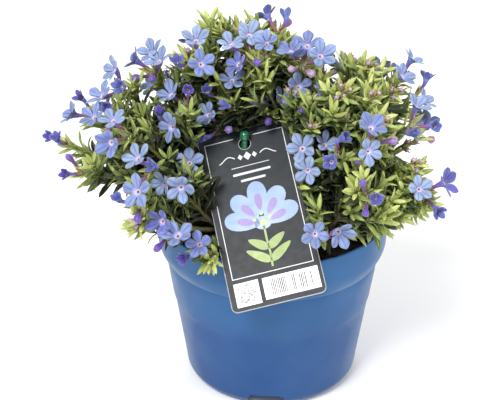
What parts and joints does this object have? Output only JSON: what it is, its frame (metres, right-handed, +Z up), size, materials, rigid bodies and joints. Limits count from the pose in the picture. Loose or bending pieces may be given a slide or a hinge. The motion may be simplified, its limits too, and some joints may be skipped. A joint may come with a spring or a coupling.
{
  "type": "potted heavenly blue lithodora",
  "caption": "Small evergreen shrub in full flower, a lithodora with gentian-blue five-lobed flowers, growing in a round blue plastic pot with a plant label pinned over its front.",
  "frame": {"origin": "middle of the pot's underside, on the surface that the pot stands on", "axes": "+Z up, -Y towards the plant label's side, which is the front, +X to the right as seen from the front"},
  "size_m": [0.2078, 0.166, 0.2023],
  "materials": {
    "pot": "moulded blue plastic with a soft sheen",
    "soil": "damp dark potting compost",
    "label": "printed plastic card, satin",
    "peg": "glossy green plastic",
    "foliage": "dull green, finely haired leaves on woody shoots",
    "petals": "velvety petals"
  },
  "bodies": {
    "root": {"pot": "pot", "soil": "soil", "plant_label": "label", "label_peg": "peg", "leafy_stem_01": "foliage", "leafy_stem_02": "foliage", "leafy_stem_03": "foliage", "leafy_stem_04": "foliage", "leafy_stem_05": "foliage", "leafy_stem_06": "foliage", "leafy_stem_07": "foliage", "leafy_stem_08": "foliage", "leafy_stem_09": "foliage", "leafy_stem_10": "foliage", "leafy_stem_11": "foliage", "leafy_stem_12": "foliage", "leafy_stem_13": "foliage", "leafy_stem_14": "foliage", "bloom_spray_01": "petals", "bloom_spray_02": "petals", "bloom_spray_03": "petals", "bloom_spray_04": "petals", "bloom_spray_05": "petals", "bloom_spray_06": "petals", "bloom_spray_07": "petals", "bloom_spray_08": "petals", "bloom_spray_09": "petals", "bloom_spray_10": "petals", "bloom_spray_11": "petals", "bloom_spray_12": "petals", "bloom_spray_13": "petals", "bloom_spray_14": "petals", "bloom_spray_15": "petals", "bloom_spray_16": "petals", "bloom_spray_17": "petals", "bloom_spray_18": "petals", "bloom_spray_19": "petals", "bloom_spray_20": "petals", "bloom_spray_21": "petals", "bloom_spray_22": "petals", "bloom_spray_23": "petals", "bloom_spray_24": "petals", "bloom_spray_25": "petals", "bloom_spray_26": "petals", "bloom_spray_27": "petals", "bloom_spray_28": "petals", "bloom_spray_29": "petals", "bloom_spray_30": "petals", "bloom_spray_31": "petals", "bloom_spray_32": "petals", "bloom_spray_33": "petals", "bloom_spray_34": "petals", "bloom_spray_35": "petals", "bloom_spray_36": "petals", "bloom_spray_37": "petals", "bloom_spray_38": "petals", "bloom_spray_39": "petals", "bloom_spray_40": "petals", "bloom_spray_41": "petals", "bloom_spray_42": "petals"}
  },
  "joints": []
}
